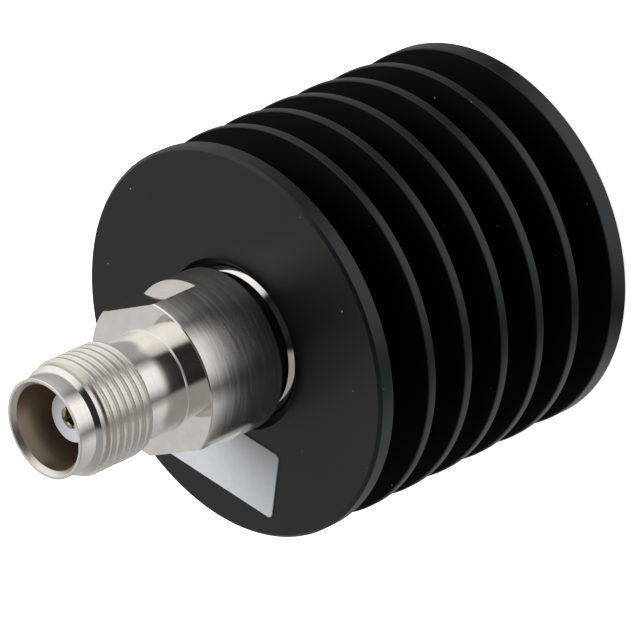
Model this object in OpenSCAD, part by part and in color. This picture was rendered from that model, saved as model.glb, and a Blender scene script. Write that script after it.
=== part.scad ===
// Coaxial dummy load: a threaded jack on a round heat sink with fins.
// Every turned piece shares the Z axis. The rear face lies on z = 0 and the jack points up.

/* [Heat sink] */
// Outer diameter of the discs and the fins
sink_d = 38.1; // [36:0.1:60]
// Thickness of the front disc
front_disc_t = 1.75; // [1:0.05:4]
// Thickness of the rear disc
rear_disc_t = 2.15; // [1:0.05:4]
// Number of thin fins between the two discs
fin_count = 5; // [4:1:9]
// Thickness of a thin fin
fin_t = 0.95; // [0.5:0.05:2]
// Gap between two thin fins
fin_gap = 3.89; // [3:0.01:6]
// Gap between an end disc and the fin beside it
end_gap = 4.6; // [3:0.05:7]
// Radius that the grooving tool leaves at the root of each fin
root_r = 0.4; // [0.1:0.05:1]
// Chamfer on the outer edge of the front and rear faces
disc_chamfer = 0.3; // [0.1:0.05:0.5]
// Edge break on the fins and on the inner side of the discs
fin_break = 0.12; // [0.02:0.01:0.2]
// Chamfer on the mouth of the bore
mouth_chamfer = 1.01; // [0.1:0.01:1.5]
// Wall of the core around the bore
core_wall = 3.6; // [1.5:0.1:5]
// Solid metal between the bore and the rear face
rear_wall = 5.7; // [2:0.1:8]

/* [Load housing] */
// Step in from the connector body's radius to the housing's
housing_step = 0.59; // [0.3:0.01:1]
// Depth of the housing's front face below the front disc
housing_recess = 0.47; // [0:0.01:1]
// Wall of the housing around the connector's spigot
housing_wall = 1.7; // [0.8:0.1:2]
// Chamfer on the rim of the housing
housing_chamfer = 0.39; // [0.05:0.01:0.6]

/* [Connector body] */
// Diameter of the round body
body_d = 15.875; // [14.5:0.025:19]
// Length of the body, from its rear edge to the shoulder
body_len = 9; // [8:0.05:14]
// Gap between the body's rear edge and the load housing
body_gap = 1.77; // [0.1:0.01:2.5]
// Distance across the two wrench flats
flats_w = 14; // [12.5:0.1:14.4]
// Length of the wrench flats, from the shoulder back
flats_len = 5.3; // [3:0.1:7.5]
// Length of the spigot behind the body
spigot_len = 7.5; // [5:0.1:9]
// Wall of the spigot around the retaining ring
spigot_wall = 1.2; // [0.8:0.1:1.5]
// Diameter of the neck between the shoulder and the thread
neck_d = 9.66; // [9.2:0.02:10.4]
// Length of the neck
neck_len = 4.95; // [3:0.05:8]
// Fillet where the neck meets the shoulder
neck_fillet = 0.2; // [0.05:0.05:0.5]
// Outside diameter of the coupling thread
thread_d = 11.1; // [10.6:0.05:12.5]
// Length of the coupling thread
thread_len = 5.4; // [4:0.1:9]
// Chamfer at each end of the thread
thread_run_out = 0.15; // [0.05:0.05:0.3]
// Step down from the thread to the plain land in front of it
land_step = 0.3; // [0.15:0.01:0.6]
// Length of the plain land
land_len = 0.64; // [0.1:0.02:2]
// Length of the plain nose in front of the land's chamfer
nose_len = 1.87; // [1:0.01:4]
// Wall of the nose around the jack's bore
nose_wall = 0.685; // [0.5:0.005:1]
// Diameter of the jack's bore
jack_bore_d = 8.25; // [7.8:0.05:9]
// Depth of the jack's bore
jack_bore_depth = 8.4; // [6:0.1:10]
// Flat that the countersink leaves on the rim of the jack
rim_flat = 0.21; // [0.05:0.01:0.3]
// Depth of the countersink in the mouth of the jack
countersink_depth = 0.48; // [0.1:0.02:1]
// Chamfer on the front edge of the body
shoulder_break = 0.2; // [0.02:0.01:0.4]
// Edge break on the other edges of the connector
edge_break = 0.1; // [0.02:0.01:0.2]

/* [Contact and insulators] */
// Diameter of the centre contact
contact_d = 2.1; // [1.8:0.05:2.4]
// Diameter of the hole in the contact
contact_hole_d = 1.4; // [1:0.05:1.6]
// Depth of the hole in the contact
contact_hole_depth = 5; // [3:0.1:8]
// Width of the contact's slots
contact_slot_w = 0.25; // [0.1:0.05:0.4]
// Length of the contact's slots
contact_slot_len = 4.2; // [2:0.1:5]
// Diameter of the collar that holds the contact
collar_d = 3.2; // [2.7:0.1:4]
// Thickness of that collar
collar_t = 0.8; // [0.4:0.1:1.5]
// Diameter of the insulator's nose
dielectric_d = 4.7; // [3.6:0.05:5]
// Depth of the insulator's nose below the rim of the jack
dielectric_recess = 3.15; // [1:0.05:5]
// Length of the insulator behind the web
insulator_len = 10; // [6:0.1:12]
// Thickness of the web that stops the insulator
web_t = 1; // [0.5:0.1:2]
// Width of the web's lip
web_lip = 0.5; // [0.2:0.05:0.8]
// Length of the support bead
bead_len = 3; // [1.8:0.1:4]

/* [Resistor] */
// Diameter of the resistor's ceramic rod
rod_d = 3; // [2:0.1:3.6]
// Wall of the caps on the rod
cap_wall = 0.25; // [0.15:0.05:0.5]
// Length of rod held in each cap
cap_grip = 1.6; // [0.8:0.1:2.5]
// Web between the front cap's two holes
cap_web = 0.5; // [0.3:0.1:1]
// Gap between the front cap and the spigot
cap_setback = 0.8; // [0.2:0.1:2]
// Length of the rear cap's solid tail
cap_tail = 1.5; // [0.8:0.1:3]
// Diameter of the contact's rear pin
pin_d = 1.3; // [0.8:0.05:1.6]
// Length of the contact's rear pin
pin_len = 1.7; // [1:0.1:3]

/* [Ground plug] */
// Thickness of the plug below the resistor's tail
plug_floor = 1.95; // [1:0.05:3]
// Thickness of the plug's flange
plug_flange_t = 2.3; // [1.2:0.1:3]
// Width of the plug's flange beyond the collet's chamber
plug_lip = 1.2; // [0.6:0.1:2]
// Wall of the collet
collet_wall = 1; // [0.5:0.1:1.5]
// Width of the collet's slots
collet_slot_w = 0.4; // [0.2:0.05:0.8]
// Free space around the collet
collet_room = 0.3; // [0.15:0.05:0.6]

/* [Label] */
// Length of the label
label_w = 14.9; // [8:0.1:18]
// Height of the label
label_h = 7; // [4:0.05:7.5]
// Thickness of the label
label_t = 0.12; // [0.05:0.01:0.3]
// Radius of the label's corners
label_corner_r = 0.5; // [0.2:0.1:1.5]
// Gap between the label and the mouth of the bore
label_gap = 0.05; // [0:0.05:1]
// Direction of the label round the axis
label_angle = 236.9; // [0:0.1:360]

/* [Fits] */
// Radial clearance of pieces that are pressed together
press_fit = 0.01; // [0:0.005:0.03]
// Radial clearance of pieces that screw or slide together
slide_fit = 0.03; // [0.01:0.01:0.08]

/* [Hidden] */
$fn = 144;

// The line is matched to 50 ohm: these bores follow from the conductor inside them.
line_ohm = 50;
free_space_ohm = 59.96;
ptfe_permittivity_ratio = 2.1;
function air_line(r) = r * exp(line_ohm / free_space_ohm);
function ptfe_line(r) = r * exp(line_ohm * sqrt(ptfe_permittivity_ratio) / free_space_ohm);

// Heat sink
sink_r = sink_d / 2;
housing_r = body_d / 2 - housing_step;
bore_r = housing_r + press_fit;
mouth_r = bore_r + mouth_chamfer;
core_r = bore_r + core_wall;
fin_pitch = fin_t + fin_gap;
first_fin_z = rear_disc_t + end_gap;
front_disc_z = first_fin_z + fin_count * fin_pitch - fin_gap + end_gap;
sink_len = front_disc_z + front_disc_t;

// Each disc: rear side, front side, rear edge break, front edge break
discs = concat(
    [[0, rear_disc_t, disc_chamfer, fin_break]],
    [for (i = [0:fin_count - 1])
        let (z = first_fin_z + i * fin_pitch) [z, z + fin_t, fin_break, fin_break]],
    [[front_disc_z, sink_len, fin_break, disc_chamfer]]
);

// Radii of the connector
spigot_hole_r = housing_r - housing_wall;
spigot_r = spigot_hole_r - slide_fit;
ring_hole_r = spigot_r - spigot_wall;
body_r = body_d / 2;
neck_r = neck_d / 2;
thread_r = thread_d / 2;
land_r = thread_r - land_step;
jack_bore_r = jack_bore_d / 2;
nose_r = jack_bore_r + nose_wall;
contact_r = contact_d / 2;
contact_bore_r = contact_r + slide_fit;
insulator_hole_r = ptfe_line(contact_r);
insulator_r = insulator_hole_r - press_fit;
web_hole_r = insulator_hole_r - web_lip;
collar_r = collar_d / 2;

// Stations along the connector, from the rear
housing_z = sink_len - housing_recess;
body_z = housing_z + body_gap;
spigot_z = body_z - spigot_len;
shoulder_z = body_z + body_len;
thread_z = shoulder_z + neck_len;
land_z = thread_z + thread_len;
lead_z = land_z + land_len;
nose_z = lead_z + land_r - nose_r;
rim_z = nose_z + nose_len;
jack_floor_z = rim_z - jack_bore_depth;
web_z = jack_floor_z - web_t;
collar_z = web_z - insulator_len;
bead_z = collar_z - bead_len;
contact_tip_z = rim_z - dielectric_recess;

// Resistor, from the spigot back to the ground plug
rod_r = rod_d / 2;
pin_r = pin_d / 2;
cap_hole_r = rod_r + press_fit;
cap_r = cap_hole_r + cap_wall;
pin_hole_depth = pin_len + slide_fit;
cap_front_z = spigot_z - cap_setback;
rod_front_z = cap_front_z - pin_hole_depth - cap_web;
film_front_z = rod_front_z - cap_grip;
tail_z = rear_wall + plug_floor;
rod_rear_z = tail_z + cap_tail;
film_rear_z = rod_rear_z + cap_grip;
film_len = film_front_z - film_rear_z;

// Ground plug
collet_r = cap_r + slide_fit + collet_wall;
chamber_r = collet_r + collet_room;
plug_r = chamber_r + plug_lip;
plug_seat_z = rear_wall + plug_flange_t;
collet_z = film_rear_z - collet_room;

// The housing's bore narrows as the film uses up the line's impedance.
taper_steps = 10;
taper_rear_r = cap_r + slide_fit;
function taper_r(share) =
    max(taper_rear_r, rod_r * exp(line_ohm * (1 - share) / free_space_ohm));
function taper_point(share) = [taper_r(share), film_front_z - share * film_len];

// Quarter round at an inner corner, going up the outline
arc_step = 30;
function root_above(r, z, size) =
    [for (a = [270:-arc_step:180]) [r + size + size * cos(a), z + size + size * sin(a)]];
function root_below(r, z, size) =
    [for (a = [180:-arc_step:90]) [r + size + size * cos(a), z - size + size * sin(a)]];

function disc_edge(disc) = [
    [sink_r - disc[2], disc[0]],
    [sink_r, disc[0] + disc[2]],
    [sink_r, disc[1] - disc[3]],
    [sink_r - disc[3], disc[1]]
];
function groove(z_low, z_high) =
    concat(root_above(core_r, z_low, root_r), root_below(core_r, z_high, root_r));

// Turns an outline of [radius, height] points about the axis.
module turned(outline) {
    rotate_extrude() polygon(outline);
}

// Two crossing saw cuts that split a tube into four fingers.
module saw_cuts(reach, width, z_low, z_high) {
    for (turn = [0, 90])
        rotate([0, 0, turn])
            translate([-reach, -width / 2, z_low])
                cube([2 * reach, width, z_high - z_low]);
}

module rounded_plate(x, y, corner_r) {
    square([x - 2 * corner_r, y], center = true);
    square([x, y - 2 * corner_r], center = true);
    for (sx = [-1, 1], sy = [-1, 1])
        translate([sx * (x / 2 - corner_r), sy * (y / 2 - corner_r)]) circle(corner_r);
}

// Black anodised aluminium, turned from one bar.
module heat_sink() {
    last = len(discs) - 1;
    outside = [for (i = [0:last]) each concat(
        disc_edge(discs[i]),
        i < last ? groove(discs[i][1], discs[i + 1][0]) : []
    )];
    bore = [
        [mouth_r, sink_len],
        [bore_r, sink_len - mouth_chamfer],
        [bore_r, rear_wall],
        [0, rear_wall]
    ];
    color([0.13, 0.13, 0.14]) turned(concat([[0, 0]], outside, bore));
}

// Nickel-plated sleeve: the outer conductor round the resistor.
module load_housing() {
    taper = [for (i = [0:taper_steps]) taper_point(i / taper_steps)];
    color([0.8, 0.78, 0.74]) turned(concat(
        [
            [plug_r + slide_fit, rear_wall],
            [housing_r, rear_wall],
            [housing_r, housing_z - housing_chamfer],
            [housing_r - housing_chamfer, housing_z],
            [spigot_hole_r, housing_z],
            [spigot_hole_r, spigot_z],
            [air_line(cap_r), spigot_z],
            [air_line(cap_r), film_front_z]
        ],
        taper,
        [
            [taper_rear_r, collet_z + collet_room],
            [chamber_r, collet_z + collet_room],
            [chamber_r, plug_seat_z],
            [plug_r + slide_fit, plug_seat_z]
        ]
    ));
}

// Nickel-plated brass jack, turned in one piece, with two milled wrench flats.
module connector_body() {
    outside = concat(
        [
            [ring_hole_r, spigot_z],
            [spigot_r - edge_break, spigot_z],
            [spigot_r, spigot_z + edge_break],
            [spigot_r, body_z],
            [body_r - edge_break, body_z],
            [body_r, body_z + edge_break],
            [body_r, shoulder_z - shoulder_break],
            [body_r - shoulder_break, shoulder_z]
        ],
        root_above(neck_r, shoulder_z, neck_fillet),
        [
            [neck_r, thread_z],
            [thread_r - thread_run_out, thread_z],
            [thread_r, thread_z + thread_run_out],
            [thread_r, land_z - thread_run_out],
            [thread_r - thread_run_out, land_z],
            [land_r, land_z],
            [land_r, lead_z],
            [nose_r, nose_z],
            [nose_r, rim_z - edge_break],
            [nose_r - edge_break, rim_z]
        ]
    );
    inside = [
        [nose_r - edge_break - rim_flat, rim_z],
        [jack_bore_r, rim_z - countersink_depth],
        [jack_bore_r, jack_floor_z],
        [web_hole_r, jack_floor_z],
        [web_hole_r, web_z],
        [insulator_hole_r, web_z],
        [insulator_hole_r, bead_z],
        [ring_hole_r, bead_z]
    ];
    color([0.84, 0.82, 0.78]) difference() {
        turned(concat(outside, inside));
        for (turn = [0, 180])
            rotate([0, 0, turn])
                translate([-body_d, flats_w / 2, shoulder_z - flats_len])
                    cube([2 * body_d, body_d, flats_len + neck_len]);
    }
}

// White PTFE, pushed in from the rear against the web.
module contact_insulator() {
    color([0.93, 0.94, 0.95]) turned([
        [contact_bore_r, collar_z],
        [insulator_r, collar_z],
        [insulator_r, web_z],
        [web_hole_r - press_fit, web_z],
        [web_hole_r - press_fit, jack_floor_z],
        [dielectric_d / 2, jack_floor_z],
        [dielectric_d / 2, contact_tip_z],
        [contact_bore_r, contact_tip_z]
    ]);
}

// Gold-plated contact: four spring fingers in front, a collar and a rear pin.
module centre_contact() {
    hole_r = contact_hole_d / 2;
    color([0.83, 0.63, 0.27]) difference() {
        turned([
            [0, cap_front_z - pin_len],
            [pin_r, cap_front_z - pin_len],
            [pin_r, cap_front_z],
            [contact_r, cap_front_z],
            [contact_r, collar_z - collar_t],
            [collar_r, collar_z - collar_t],
            [collar_r, collar_z],
            [contact_r, collar_z],
            [contact_r, contact_tip_z],
            [hole_r + edge_break, contact_tip_z],
            [hole_r, contact_tip_z - edge_break],
            [hole_r, contact_tip_z - contact_hole_depth],
            [0, contact_tip_z - contact_hole_depth]
        ]);
        saw_cuts(contact_d, contact_slot_w, contact_tip_z - contact_slot_len, rim_z);
    }
}

// PTFE bead that traps the contact's collar behind the insulator.
module support_bead() {
    collar_floor_z = collar_z - collar_t;
    color([0.93, 0.94, 0.95]) turned([
        [contact_bore_r, bead_z],
        [insulator_r, bead_z],
        [insulator_r, collar_z],
        [collar_r + slide_fit, collar_z],
        [collar_r + slide_fit, collar_floor_z],
        [contact_bore_r, collar_floor_z]
    ]);
}

// Brass bush pressed in behind the bead: the outer conductor round the contact's shank.
module retaining_ring() {
    color([0.8, 0.78, 0.74]) turned([
        [air_line(contact_r), spigot_z],
        [ring_hole_r - press_fit, spigot_z],
        [ring_hole_r - press_fit, bead_z],
        [air_line(contact_r), bead_z]
    ]);
}

// Metal cap with a hole for the contact's pin and a cup for the rod.
module resistor_front_cap() {
    color([0.8, 0.8, 0.82]) turned([
        [0, rod_front_z],
        [cap_hole_r, rod_front_z],
        [cap_hole_r, film_front_z],
        [cap_r, film_front_z],
        [cap_r, cap_front_z],
        [pin_r + slide_fit, cap_front_z],
        [pin_r + slide_fit, cap_front_z - pin_hole_depth],
        [0, cap_front_z - pin_hole_depth]
    ]);
}

// Ceramic rod with a resistive film.
module resistor_rod() {
    color([0.24, 0.22, 0.2]) turned([
        [0, rod_rear_z],
        [rod_r - edge_break, rod_rear_z],
        [rod_r, rod_rear_z + edge_break],
        [rod_r, rod_front_z - edge_break],
        [rod_r - edge_break, rod_front_z],
        [0, rod_front_z]
    ]);
}

// Metal cap with a solid tail that stands on the ground plug.
module resistor_rear_cap() {
    color([0.8, 0.8, 0.82]) turned([
        [0, tail_z],
        [cap_r, tail_z],
        [cap_r, film_rear_z],
        [cap_hole_r, film_rear_z],
        [cap_hole_r, rod_rear_z],
        [0, rod_rear_z]
    ]);
}

// Brass plug with a collet of four fingers round the rear cap.
module ground_plug() {
    color([0.78, 0.62, 0.32]) difference() {
        turned([
            [0, rear_wall],
            [plug_r, rear_wall],
            [plug_r, plug_seat_z],
            [collet_r, plug_seat_z],
            [collet_r, collet_z],
            [cap_r + slide_fit, collet_z],
            [cap_r + slide_fit, tail_z],
            [0, tail_z]
        ]);
        saw_cuts(collet_r, collet_slot_w, plug_seat_z, collet_z + collet_room);
    }
}

// Paper label stuck to the front disc, beside the bore.
module label() {
    color([0.76, 0.8, 0.83])
        rotate([0, 0, label_angle])
            translate([mouth_r + label_gap + label_h / 2, 0, sink_len])
                linear_extrude(label_t) rounded_plate(label_h, label_w, label_corner_r);
}

heat_sink();
load_housing();
connector_body();
contact_insulator();
centre_contact();
support_bead();
retaining_ring();
resistor_front_cap();
resistor_rod();
resistor_rear_cap();
ground_plug();
label();
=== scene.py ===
import math

import bpy
from mathutils import Euler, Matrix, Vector


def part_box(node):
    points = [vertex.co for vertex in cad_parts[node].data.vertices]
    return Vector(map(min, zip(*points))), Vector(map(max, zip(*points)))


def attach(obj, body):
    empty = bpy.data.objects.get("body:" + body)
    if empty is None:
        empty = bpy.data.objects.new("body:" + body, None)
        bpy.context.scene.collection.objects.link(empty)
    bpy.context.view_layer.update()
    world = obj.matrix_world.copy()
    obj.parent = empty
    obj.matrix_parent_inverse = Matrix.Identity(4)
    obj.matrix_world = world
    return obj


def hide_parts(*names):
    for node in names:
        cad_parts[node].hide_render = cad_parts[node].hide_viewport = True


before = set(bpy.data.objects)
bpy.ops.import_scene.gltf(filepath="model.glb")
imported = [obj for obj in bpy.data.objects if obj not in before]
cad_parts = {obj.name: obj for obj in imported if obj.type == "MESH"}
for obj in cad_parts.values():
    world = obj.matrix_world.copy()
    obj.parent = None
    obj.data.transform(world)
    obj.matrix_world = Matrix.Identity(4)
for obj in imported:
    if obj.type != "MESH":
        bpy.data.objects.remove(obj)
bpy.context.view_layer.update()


# Heat sink: a round bar of aluminium, turned into a front disc, thin fins and a thicker rear disc,
# blasted to an even matt skin and anodised black. A blind bore from the front takes the load housing.
MM = 0.001
sink_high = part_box("heat_sink")[1]
sink_r = sink_high.x
sink_len = sink_high.z
housing_low, housing_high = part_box("load_housing")
bore_r = housing_high.x
bore_floor = housing_low.z
front_disc_t = 1.75 * MM
rear_disc_t = 2.15 * MM
fin_count = 5
fin_t = 0.95 * MM
fin_gap = 3.89 * MM
end_gap = 4.6 * MM
core_r = bore_r + 3.61 * MM
root_ease = 0.4 * MM
disc_chamfer = 0.3 * MM
chamfer_ease = 0.06 * MM
fin_ease = 0.14 * MM
mouth_chamfer = 1.01 * MM
turn_steps = 256
weld_gap = 0.0001 * MM
crease_degrees = 25


def eased(corners, arc_steps=4):
    """Rounds the corners of an outline. A corner is (radius, height, ease)."""
    points = []
    for i, (r, z, ease) in enumerate(corners):
        corner = Vector((r, z))
        if ease == 0:
            points.append(corner)
            continue
        back = (Vector(corners[i - 1][:2]) - corner).normalized()
        on = (Vector(corners[(i + 1) % len(corners)][:2]) - corner).normalized()
        cut = ease / math.tan(back.angle(on) / 2)
        for k in range(arc_steps + 1):
            t = k / arc_steps
            points.append(corner + back * cut * (1 - t) ** 2 + on * cut * t ** 2)
    return points


def turned(name, outline):
    """Draws an outline vertex by vertex and spins it round the axis, as a lathe turns a bar."""
    bpy.ops.object.select_all(action="DESELECT")
    bpy.ops.mesh.primitive_plane_add(size=MM)
    piece = bpy.context.object
    piece.name = name
    piece.data.name = name
    bpy.ops.object.mode_set(mode="EDIT")
    bpy.ops.mesh.select_all(action="SELECT")
    bpy.ops.mesh.merge(type="CENTER")
    bpy.ops.transform.translate(value=(outline[0].x, 0, outline[0].y))
    for here, there in zip(outline, outline[1:]):
        stride = (there.x - here.x, 0, there.y - here.y)
        bpy.ops.mesh.extrude_region_move(TRANSFORM_OT_translate={"value": stride})
    bpy.ops.mesh.select_all(action="SELECT")
    bpy.ops.mesh.spin(steps=turn_steps, angle=math.tau, center=(0, 0, 0), axis=(0, 0, 1))
    bpy.ops.mesh.select_all(action="SELECT")
    bpy.ops.mesh.remove_doubles(threshold=weld_gap)
    bpy.ops.mesh.normals_make_consistent(inside=False)
    bpy.ops.object.mode_set(mode="OBJECT")
    return piece


def picked(piece):
    """Selects one piece and makes it the active one."""
    bpy.ops.object.select_all(action="DESELECT")
    piece.select_set(True)
    bpy.context.view_layer.objects.active = piece


def smoothed(piece):
    """Shades a piece smooth, with a crease wherever it turns sharply."""
    picked(piece)
    bpy.ops.object.shade_smooth_by_angle(angle=math.radians(crease_degrees))


def trued(piece):
    """Lets the largest faces set the normals, so that a flat stays flat up to its eased edges."""
    picked(piece)
    bpy.ops.object.modifier_add(type="WEIGHTED_NORMAL")
    piece.modifiers[-1].weight = 100
    piece.modifiers[-1].keep_sharp = True
    bpy.ops.object.modifier_apply(modifier=piece.modifiers[-1].name)


fin_corners = []
for i in range(fin_count):
    fin_z = rear_disc_t + end_gap + i * (fin_t + fin_gap)
    fin_corners += [
        (core_r, fin_z, root_ease),
        (sink_r, fin_z, fin_ease),
        (sink_r, fin_z + fin_t, fin_ease),
        (core_r, fin_z + fin_t, root_ease),
    ]
front_disc_z = sink_len - front_disc_t
rear_disc_corners = [
    (0, 0, 0),
    (sink_r - disc_chamfer, 0, chamfer_ease),
    (sink_r, disc_chamfer, chamfer_ease),
    (sink_r, rear_disc_t, fin_ease),
    (core_r, rear_disc_t, root_ease),
]
front_disc_corners = [
    (core_r, front_disc_z, root_ease),
    (sink_r, front_disc_z, fin_ease),
    (sink_r, sink_len - disc_chamfer, chamfer_ease),
    (sink_r - disc_chamfer, sink_len, chamfer_ease),
    (bore_r + mouth_chamfer, sink_len, chamfer_ease),
    (bore_r, sink_len - mouth_chamfer, 0),
    (bore_r, bore_floor, 0),
    (0, bore_floor, 0),
]
heat_sink = turned("heat_sink_turned", eased(rear_disc_corners + fin_corners + front_disc_corners))
smoothed(heat_sink)
trued(heat_sink)


def shader_of(name):
    """A new material, its node tree and its main shader."""
    material = bpy.data.materials.new(name)
    material.use_nodes = True
    return material, material.node_tree, material.node_tree.nodes["Principled BSDF"]


def node(tree, kind, inputs, **settings):
    """Adds a shader node. Inputs maps a socket to a value or to another node's output."""
    made = tree.nodes.new("ShaderNode" + kind)
    for setting, value in settings.items():
        setattr(made, setting, value)
    for socket, value in inputs.items():
        if isinstance(value, bpy.types.NodeSocket):
            tree.links.new(value, made.inputs[socket])
        else:
            made.inputs[socket].default_value = value
    return made


def worked_out(tree, operation, first, second):
    """One value worked out from two others."""
    return node(tree, "Math", {0: first, 1: second}, operation=operation).outputs[0]


def grained(tree, place, scale, detail):
    """An even noise, from 0 to 1."""
    return node(tree, "TexNoise", {"Vector": place, "Scale": scale, "Detail": detail}).outputs["Fac"]


def ranged(tree, value, low, high):
    """A value from 0 to 1, spread from low to high."""
    return node(tree, "MapRange", {"Value": value, "To Min": low, "To Max": high}).outputs[0]


def blended(tree, share, low, high):
    """A colour from low to high, by a share from 0 to 1."""
    return node(tree, "Mix", {0: share, 6: low, 7: high}, data_type="RGBA").outputs[2]


mark_relief = 0.01 * MM


def finish_with(tree, shader, tone, matt, bump, height):
    """Links a surface's colour and roughness, and the relief of its finest marks."""
    marks = node(tree, "Bump", {"Strength": bump, "Distance": mark_relief, "Height": height})
    tree.links.new(tone, shader.inputs["Base Color"])
    tree.links.new(matt, shader.inputs["Roughness"])
    tree.links.new(marks.outputs[0], shader.inputs["Normal"])


def wear(piece, *materials):
    """Puts materials on a piece in place of those it has."""
    piece.data.materials.clear()
    for material in materials:
        piece.data.materials.append(material)


skin_dark = (0.002, 0.002, 0.0022, 1)
skin_light = (0.004, 0.004, 0.0043, 1)
cloud_scale = 160
blast_scale = 9000
blast_depth = 0.2
dust_grey = (0.16, 0.16, 0.165, 1)
dust_scale = 600
dust_small = 0.02
dust_large = 0.065
dustless_share = 0.6


def anodised(name, sheen_level, sheen_tint, matt_low, matt_high):
    """Black anodised skin: a fine blasted grain, faint clouds and a few grains of dust."""
    material, tree, shader = shader_of(name)
    place = node(tree, "TexCoord", {}).outputs["Object"]
    cloud = grained(tree, place, cloud_scale, detail=3)
    field = node(tree, "TexVoronoi", {"Vector": place, "Scale": dust_scale, "Randomness": 1})
    draw = node(tree, "SeparateColor", {"Color": field.outputs["Color"]})
    size = ranged(tree, draw.outputs["Green"], dust_small, dust_large)
    near = worked_out(tree, "LESS_THAN", field.outputs["Distance"], size)
    some = worked_out(tree, "GREATER_THAN", draw.outputs["Red"], dustless_share)
    dust = worked_out(tree, "MULTIPLY", near, some)
    tone = blended(tree, dust, blended(tree, cloud, skin_dark, skin_light), dust_grey)
    matt = ranged(tree, cloud, matt_low, matt_high)
    pits = grained(tree, place, blast_scale, detail=2)
    finish_with(tree, shader, tone, matt, blast_depth, pits)
    shader.inputs["Specular IOR Level"].default_value = sheen_level
    shader.inputs["Specular Tint"].default_value = sheen_tint
    return material


neutral_sheen = (1, 1, 1, 1)
cool_sheen = (0.9, 0.96, 1, 1)
face_anodise = anodised(
    "face_anodise", sheen_level=0.41, sheen_tint=neutral_sheen, matt_low=0.34, matt_high=0.42
)
# Painted highlight: the outer rims get a copy of the anodise with a stronger, cooler sheen than the
# faces, so that they show brighter.
rim_highlight_anodise = anodised(
    "rim_highlight_anodise", sheen_level=0.52, sheen_tint=cool_sheen, matt_low=0.34, matt_high=0.42
)
# Painted shade: the faces between the fins and in the bore's mouth get a copy with almost no sheen and
# more roughness, so that they read dark. The rougher finish is real; the darkness stands in for the
# shade there.
groove_shade_anodise = anodised(
    "groove_shade_anodise", sheen_level=0.07, sheen_tint=neutral_sheen, matt_low=0.5, matt_high=0.6
)
sink_skins = [face_anodise, rim_highlight_anodise, groove_shade_anodise]
wear(heat_sink, *sink_skins)
for face in heat_sink.data.polygons:
    z = face.center.z
    r = math.hypot(face.center.x, face.center.y)
    skin = face_anodise
    # The outer rims take the painted highlight.
    if r > sink_r - disc_chamfer:
        skin = rim_highlight_anodise
    # The faces between the fins, and the bore's mouth below, take the painted shade.
    elif rear_disc_t - fin_ease < z < front_disc_z + fin_ease:
        skin = groove_shade_anodise
    elif r < bore_r + mouth_chamfer and z > 0:
        skin = groove_shade_anodise
    face.material_index = sink_skins.index(skin)
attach(heat_sink, "root")
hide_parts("heat_sink")


# Connector body: one turned piece of brass with bright nickel plate, with two milled wrench flats.
# Its spigot screws into the load housing and is coloured near black, and its neck,
# thread and nose take the mating plug.
jack_low, jack_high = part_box("connector_body")
body_r = jack_high.x
rim_z = jack_high.z
spigot_z = jack_low.z
nose_z = rim_z - 1.87 * MM
lead_z = nose_z - 0.44 * MM
land_z = lead_z - 0.64 * MM
thread_z = land_z - 5.4 * MM
shoulder_z = thread_z - 4.95 * MM
body_z = shoulder_z - 9.0 * MM
flats_z = shoulder_z - 5.3 * MM
flats_half = 7.0 * MM
ring_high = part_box("retaining_ring")[1]
ring_r = ring_high.x
ring_top = ring_high.z
spigot_r = ring_r + 1.21 * MM
neck_r = 4.83 * MM
neck_fillet = 0.2 * MM
thread_r = 5.55 * MM
inch_in_mm = 25.4
turns_per_inch = 28
thread_pitch = inch_in_mm / turns_per_inch * MM
thread_depth = 0.3 * MM
thread_rows = 180
thread_run_out = 0.15 * MM
thread_margin = 0.01 * MM
land_r = thread_r - thread_depth
nose_r = 4.81 * MM
rim_flat = 0.21 * MM
countersink_depth = 0.48 * MM
jack_bore_r = 4.125 * MM
jack_floor = rim_z - 8.4 * MM
insulator_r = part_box("contact_insulator")[1].x
web_z = jack_floor - 1.0 * MM
web_hole_r = insulator_r - 0.49 * MM
shoulder_break = 0.1 * MM
edge_break = 0.1 * MM
break_ease = 0.05 * MM


def thread_cover(z):
    """The outline over the thread's crests, with a small chamfer at the rear."""
    return min(thread_r, thread_r - thread_run_out + (z - thread_z))


def thread_ridge(z, angle):
    """Radius of the right-handed thread at a height and an angle: flat crests, sloped flanks."""
    turn = (z - thread_z) / thread_pitch - angle / math.tau
    ridge = min(max(0.5 + math.cos(math.tau * turn), 0), 1)
    return thread_r - thread_depth * (1 - ridge)


rear_corners = [
    (ring_r, spigot_z, 0),
    (spigot_r, spigot_z, edge_break),
    (spigot_r, body_z, 0),
    (body_r, body_z, edge_break),
    (body_r, shoulder_z - shoulder_break, break_ease),
    (body_r - shoulder_break, shoulder_z, break_ease),
    (neck_r, shoulder_z, neck_fillet),
    (neck_r, thread_z, 0),
]
thread_outline = [
    Vector((thread_cover(z), z))
    for z in (thread_z + (land_z - thread_z) * k / thread_rows for k in range(thread_rows + 1))
]
front_corners = [
    (land_r, land_z, 0),
    (land_r, lead_z, break_ease),
    (nose_r, nose_z, 0),
    (nose_r, rim_z, edge_break),
    (nose_r - edge_break - rim_flat, rim_z, break_ease),
    (jack_bore_r, rim_z - countersink_depth, break_ease),
    (jack_bore_r, jack_floor, 0),
    (web_hole_r, jack_floor, 0),
    (web_hole_r, web_z, 0),
    (insulator_r, web_z, 0),
    (insulator_r, ring_top, 0),
    (ring_r, ring_top, 0),
    (ring_r, spigot_z, 0),
]
jack = turned("connector_body_turned", eased(rear_corners) + thread_outline + eased(front_corners))

for vertex in jack.data.vertices:
    x, y, z = vertex.co
    r = math.hypot(x, y)
    if thread_z - break_ease < z < land_z + break_ease and r > land_r:
        cut_r = min(r, thread_ridge(z, math.atan2(y, x)))
        vertex.co = (x * cut_r / r, y * cut_r / r, z)

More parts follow.
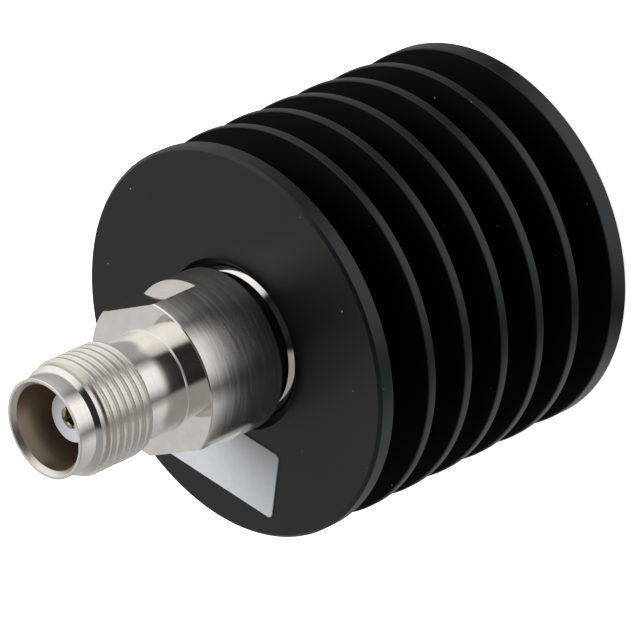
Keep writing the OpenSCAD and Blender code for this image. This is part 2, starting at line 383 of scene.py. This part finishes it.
cutter_width = 4 * body_r
cutter_depth = body_r
for side in (-1, 1):
    bpy.ops.object.select_all(action="DESELECT")
    bpy.ops.mesh.primitive_cube_add(size=1)
    cutter = bpy.context.object
    cutter.scale = (cutter_width, cutter_depth, thread_z - flats_z)
    cutter.location = (0, side * (flats_half + cutter_depth / 2), (thread_z + flats_z) / 2)
    bpy.ops.object.transform_apply(location=True, rotation=False, scale=True)
    picked(jack)
    bpy.ops.object.modifier_add(type="BOOLEAN")
    jack.modifiers[-1].operation = "DIFFERENCE"
    jack.modifiers[-1].solver = "EXACT"
    jack.modifiers[-1].object = cutter
    bpy.ops.object.modifier_apply(modifier=jack.modifiers[-1].name)
    bpy.data.objects.remove(cutter)
smoothed(jack)
for edge in jack.data.edges:
    heights = [jack.data.vertices[i].co.z for i in edge.vertices]
    if min(heights) > thread_z + thread_margin and max(heights) < land_z - thread_margin:
        edge.use_edge_sharp = False
trued(jack)


streak_low = 0.3
streak_high = 0.7
matt_spread = 0.3
quarter_turn = 0.25


def machined(name, dark, light, matt, mark_scale, mark_depth, brushing):
    """Turned metal, plated or bare. The tool's marks run round the axis."""
    material, tree, shader = shader_of(name)
    place = node(tree, "TexCoord", {}).outputs["Object"]
    stretched = node(tree, "Mapping", {"Vector": place, "Scale": mark_scale})
    marks = grained(tree, stretched.outputs[0], scale=1, detail=4)
    plain = node(tree, "MapRange", {"Value": marks, "From Min": streak_low, "From Max": streak_high})
    tone = blended(tree, plain.outputs[0], dark, light)
    dulling = ranged(tree, marks, matt * (1 - matt_spread), matt * (1 + matt_spread))
    finish_with(tree, shader, tone, dulling, mark_depth, marks)
    round_axis = node(tree, "Tangent", {}, direction_type="RADIAL", axis="Z")
    tree.links.new(round_axis.outputs[0], shader.inputs["Tangent"])
    shader.inputs["Metallic"].default_value = 1
    shader.inputs["Anisotropic"].default_value = brushing
    shader.inputs["Anisotropic Rotation"].default_value = quarter_turn
    return material


bright_light = (0.94, 0.912, 0.868, 1)
bright_dark = (0.86, 0.828, 0.778, 1)
brushed_light = (0.97, 0.94, 0.895, 1)
streak_dark = (0.8, 0.77, 0.72, 1)
thread_light = (0.93, 0.895, 0.84, 1)
thread_dark = (0.83, 0.79, 0.73, 1)
brown_light = (0.71, 0.585, 0.45, 1)
brown_dark = (0.63, 0.495, 0.365, 1)
spigot_light = (0.05, 0.047, 0.043, 1)
spigot_dark = (0.03, 0.028, 0.026, 1)
polished_nickel = machined(
    "polished_nickel", bright_dark, bright_light,
    matt=0.08, mark_scale=(500, 500, 3000), mark_depth=0.02, brushing=0.0,
)
turned_nickel = machined(
    "turned_nickel", bright_dark, bright_light,
    matt=0.16, mark_scale=(60, 60, 9000), mark_depth=0.08, brushing=0.6,
)
brushed_nickel = machined(
    "brushed_nickel", streak_dark, brushed_light,
    matt=0.175, mark_scale=(260, 260, 4500), mark_depth=0.12, brushing=0.85,
)
# Inside the jack's bore the plate is coloured browner and darker than outside, with a duller finish.
brown_bore_nickel = machined(
    "brown_bore_nickel", brown_dark, brown_light,
    matt=0.4, mark_scale=(60, 60, 4000), mark_depth=0.1, brushing=0.3,
)
thread_nickel = machined(
    "thread_nickel", thread_dark, thread_light,
    matt=0.28, mark_scale=(90, 90, 7000), mark_depth=0.05, brushing=0.6,
)
satin_nickel = machined(
    "satin_nickel", bright_dark, bright_light,
    matt=0.4, mark_scale=(90, 90, 7000), mark_depth=0.05, brushing=0.2,
)
# The spigot below the body is coloured near black, far darker than the plate.
dark_spigot_nickel = machined(
    "dark_spigot_nickel", spigot_dark, spigot_light,
    matt=0.5, mark_scale=(400, 400, 2000), mark_depth=0.1, brushing=0.0,
)
jack_skins = [
    polished_nickel,
    turned_nickel,
    brushed_nickel,
    brown_bore_nickel,
    thread_nickel,
    satin_nickel,
    dark_spigot_nickel,
]
wear(jack, *jack_skins)
upright_lean = 0.1
for face in jack.data.polygons:
    z = face.center.z
    r = math.hypot(face.center.x, face.center.y)
    upright = abs(face.normal.z) < upright_lean
    skin = polished_nickel
    # The spigot below the body: near black.
    if z < body_z + break_ease:
        skin = dark_spigot_nickel
    # Inside the jack's bore: browner and darker.
    elif r < jack_bore_r + break_ease and z > web_z:
        skin = brown_bore_nickel
    elif z > rim_z - countersink_depth and r < nose_r - edge_break - rim_flat:
        skin = satin_nickel
    elif thread_z - break_ease < z < lead_z and r > neck_r + break_ease:
        skin = thread_nickel
    elif z > shoulder_z + neck_fillet:
        skin = turned_nickel
    elif body_z < z < shoulder_z and upright and r > body_r - break_ease:
        skin = brushed_nickel
    face.material_index = jack_skins.index(skin)
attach(jack, "root")
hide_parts("connector_body")


# Load housing and retaining ring: nickel-plated sleeves inside the heat sink and the connector.
# Only the chamfer on the housing's front rim shows, as a bright ring below the connector body.
for name in ("load_housing", "retaining_ring"):
    wear(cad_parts[name], polished_nickel)


# Insulator and support bead: white PTFE, turned, pushed into the connector body from behind.
# The insulator's nose stands in the jack's bore and holds the contact.
# The PTFE is coloured mid grey, not white: painted shade for the jack's bore, where the insulator's
# nose stands. Its mottle and grain are its own.
ptfe_shade_low = (0.48, 0.51, 0.54, 1)
ptfe_shade_high = (0.56, 0.59, 0.62, 1)
mottle_spread = 0.2


def mottled(name, low, high, grain_scale, detail, matt, bump, metallic):
    """A surface with a faint mottle of two tones, an uneven gloss and a fine grain."""
    material, tree, shader = shader_of(name)
    place = node(tree, "TexCoord", {}).outputs["Object"]
    grain = grained(tree, place, grain_scale, detail)
    dulling = ranged(tree, grain, matt * (1 - mottle_spread), matt * (1 + mottle_spread))
    finish_with(tree, shader, blended(tree, grain, low, high), dulling, bump, grain)
    shader.inputs["Metallic"].default_value = metallic
    return material


ptfe = mottled(
    "white_ptfe_painted_shade", ptfe_shade_low, ptfe_shade_high,
    grain_scale=900, detail=3, matt=0.42, bump=0.1, metallic=0,
)
for name in ("contact_insulator", "support_bead"):
    wear(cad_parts[name], ptfe)


# Centre contact: a spring socket of turned brass with four slots and a rear pin, plated with gold.
# Its collar is trapped between the insulator and the support bead.
gold_low = (0.80, 0.58, 0.29, 1)
gold_high = (0.93, 0.73, 0.43, 1)
gold = mottled(
    "gold_plate", gold_low, gold_high,
    grain_scale=2500, detail=3, matt=0.24, bump=0.06, metallic=1,
)
wear(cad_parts["centre_contact"], gold)


# Resistor: a ceramic rod with a dark resistive film, and a silver-plated cap pressed on each end.
# The front cap takes the contact's pin.
film_dark = (0.06, 0.052, 0.048, 1)
film_light = (0.10, 0.088, 0.082, 1)
film_scale = (300, 300, 5000)
film, tree, shader = shader_of("resistive_film")
place = node(tree, "TexCoord", {}).outputs["Object"]
bands = node(tree, "Mapping", {"Vector": place, "Scale": film_scale})
spread = grained(tree, bands.outputs[0], scale=1, detail=3)
tree.links.new(blended(tree, spread, film_dark, film_light), shader.inputs["Base Color"])
shader.inputs["Roughness"].default_value = 0.6
wear(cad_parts["resistor_rod"], film)
silver_light = (0.86, 0.86, 0.85, 1)
silver_dark = (0.74, 0.74, 0.73, 1)
silver_plate = machined(
    "silver_plate", silver_dark, silver_light,
    matt=0.25, mark_scale=(200, 200, 5000), mark_depth=0.1, brushing=0.3,
)
for name in ("resistor_front_cap", "resistor_rear_cap"):
    wear(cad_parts[name], silver_plate)


# Ground plug: bare turned brass, screwed into the rear of the load housing.
# Its slotted collet grips the resistor's rear cap.
brass_light = (0.74, 0.56, 0.25, 1)
brass_dark = (0.64, 0.47, 0.19, 1)
bare_brass = machined(
    "bare_brass", brass_dark, brass_light,
    matt=0.28, mark_scale=(120, 120, 6000), mark_depth=0.1, brushing=0.4,
)
wear(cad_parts["ground_plug"], bare_brass)


# Label: a small piece of plain grey-white paper with rounded corners.
# It is cut out and stuck to the front disc beside the connector.
paper_low = (0.465, 0.485, 0.50, 1)
paper_high = (0.54, 0.56, 0.575, 1)
paper = mottled(
    "label_paper", paper_low, paper_high,
    grain_scale=1800, detail=4, matt=0.4, bump=0.15, metallic=0,
)
wear(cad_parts["label"], paper)


# Floor: a plain white sheet under the load, a hair below its rear face.
# To the camera it is plain white; in bright metal it glows with painted reflection levels, lighter and
# darker by bearing, as a sheet between dark and white cards would be, and far out it takes the level of
# the walls.
floor_gap = 0.05 * MM
floor_size = 4
floor_white = (0.8, 0.8, 0.8, 1)
floor_lift = 0.85
fade_from = 0.085
fade_to = 0.14
white_light = (1, 1, 1, 1)
view_turn = math.radians(10.7)
sheet_stops = [
    (-180, 0.42),
    (-140, 0.45),
    (-100, 0.52),
    (-65, 0.72),
    (-42, 0.16),
    (-18, 0.85),
    (0, 1.0),
    (20, 1.0),
    (46, 0.16),
    (62, 0.34),
    (100, 0.4),
    (140, 0.38),
    (180, 0.42),
]
wall_stops = [
    (-180, 0.57),
    (-150, 0.5),
    (-120, 0.32),
    (-60, 0.3),
    (-42, 0.3),
    (-20, 1.0),
    (20, 1.0),
    (42, 0.5),
    (60, 0.8),
    (80, 1.0),
    (120, 1.0),
    (150, 0.7),
    (180, 0.57),
]


def round_about(tree, way, stops):
    """A level for each bearing round the axis. A stop is (degrees from the camera's side, level)."""
    faced = node(tree, "VectorRotate", {"Vector": way, "Angle": -view_turn}, rotation_type="Z_AXIS")
    ways = node(tree, "SeparateXYZ", {"Vector": faced.outputs[0]})
    bearing = worked_out(tree, "ARCTAN2", ways.outputs["Y"], ways.outputs["X"])
    share = node(tree, "MapRange", {"Value": bearing, "From Min": -math.pi, "From Max": math.pi})
    levels = node(tree, "ValToRGB", {"Fac": share.outputs[0]})
    ramp = levels.color_ramp
    while len(ramp.elements) < len(stops):
        ramp.elements.new(0.5)
    for element, (degrees, level) in zip(ramp.elements, stops):
        element.position = (degrees + 180) / 360
        element.color = (level, level, level, 1)
    return levels.outputs["Color"]


def by_ray(tree, plain, seen, mirrored):
    """One surface for plain light, one that the camera sees, and one that shows in metal and glass."""
    ray = node(tree, "LightPath", {})
    glossy = ray.outputs["Is Glossy Ray"]
    passing = ray.outputs["Is Transmission Ray"]
    bounced = worked_out(tree, "MAXIMUM", glossy, passing)
    direct = node(tree, "MixShader", {0: ray.outputs["Is Camera Ray"], 1: plain, 2: seen})
    return node(tree, "MixShader", {0: bounced, 1: direct.outputs[0], 2: mirrored}).outputs[0]


bpy.ops.object.select_all(action="DESELECT")
bpy.ops.mesh.primitive_plane_add(size=floor_size, location=(0, 0, -floor_gap))
floor = bpy.context.object
floor.name = "floor"
bpy.ops.object.transform_apply(location=True, rotation=False, scale=False)
floor_paint, tree, shader = shader_of("white_floor")
shader.inputs["Base Color"].default_value = floor_white
shader.inputs["Roughness"].default_value = 0.9
shader.inputs["Specular IOR Level"].default_value = 0
place = node(tree, "TexCoord", {}).outputs["Object"]
near_levels = round_about(tree, place, sheet_stops)
far_levels = round_about(tree, place, wall_stops)
reach = node(tree, "VectorMath", {0: place}, operation="LENGTH").outputs["Value"]
fade = node(tree, "MapRange", {"Value": reach, "From Min": fade_from, "From Max": fade_to})
sheet_levels = blended(tree, fade.outputs[0], near_levels, far_levels)
glow = node(tree, "Emission", {"Color": white_light, "Strength": floor_lift})
lit = node(tree, "AddShader", {0: shader.outputs[0], 1: glow.outputs[0]})
# Painted reflection: for glossy and transmission rays the floor glows at these levels by bearing.
mirrored = node(tree, "Emission", {"Color": sheet_levels, "Strength": 1})
surface = by_ray(tree, shader.outputs[0], lit.outputs[0], mirrored.outputs[0])
tree.links.new(surface, tree.nodes["Material Output"].inputs["Surface"])
wear(floor, floor_paint)


# Light: a pale room that is dark behind the camera, and a large soft box above and to the left.
# Bright metal shows the room's walls lighter and darker by bearing, and never above white.
view_tilt = math.radians(50.384)
to_camera = Vector((
    math.sin(view_tilt) * math.cos(view_turn),
    math.sin(view_tilt) * math.sin(view_turn),
    math.cos(view_tilt),
))
lamp_way = Vector((-0.3, 0.7, 0.75)).normalized()
lamp_distance = 0.6
room_level = 0.43
dark_level = 0.02
dark_edge_out = 0.765
dark_edge_in = 0.835
lamp = bpy.data.lights.new("soft_box", "AREA")
lamp.shape = "DISK"
lamp.size = 0.5
lamp.energy = 4.8
soft_box = bpy.data.objects.new("soft_box", lamp)
bpy.context.scene.collection.objects.link(soft_box)
soft_box.location = Vector((0, 0, sink_len)) + lamp_way * lamp_distance
soft_box.rotation_euler = lamp_way.to_track_quat("Z", "Y").to_euler()
soft_box.visible_glossy = False
world = bpy.data.worlds.new("pale_room")
bpy.context.scene.world = world
world.use_nodes = True
tree = world.node_tree
room = tree.nodes["Background"]
room.inputs["Color"].default_value = white_light
room.inputs["Strength"].default_value = room_level
way = node(tree, "TexCoord", {}).outputs["Generated"]
facing = node(tree, "VectorMath", {0: way, 1: to_camera}, operation="DOT_PRODUCT").outputs["Value"]
dark_range = {"Value": facing, "From Min": dark_edge_out, "From Max": dark_edge_in}
dark_side = node(tree, "MapRange", {**dark_range, "To Min": 1.0, "To Max": dark_level})
wall_levels = round_about(tree, way, wall_stops)
mirrored = node(tree, "Background", {"Color": wall_levels, "Strength": dark_side.outputs[0]})
backdrop = node(tree, "Background", {"Color": white_light, "Strength": 1})
surface = by_ray(tree, room.outputs[0], backdrop.outputs[0], mirrored.outputs[0])
tree.links.new(surface, tree.nodes["World Output"].inputs["Surface"])


# Camera: the photograph's long lens, tilted off the load's axis,
# and rolled so that the jack points down and left.
view_roll = math.radians(-24.566)
view_offset = Vector((4.475, 0.553, 511.79)) * MM
view_aim_z = sink_len - 5.243 * MM
camera = bpy.data.cameras.new("camera")
camera.sensor_width = 36
camera.lens = 310.34
camera.clip_start = 0.01
camera_holder = bpy.data.objects.new("camera", camera)
bpy.context.scene.collection.objects.link(camera_holder)
turn = Euler((0, 0, view_turn)).to_matrix() @ Euler((0, view_tilt, 0)).to_matrix()
turn = turn @ Euler((0, 0, view_roll)).to_matrix()
camera_holder.rotation_euler = turn.to_euler()
camera_holder.location = Vector((0, 0, view_aim_z)) + turn @ view_offset
bpy.context.scene.camera = camera_holder
bpy.context.scene.view_settings.view_transform = "Standard"
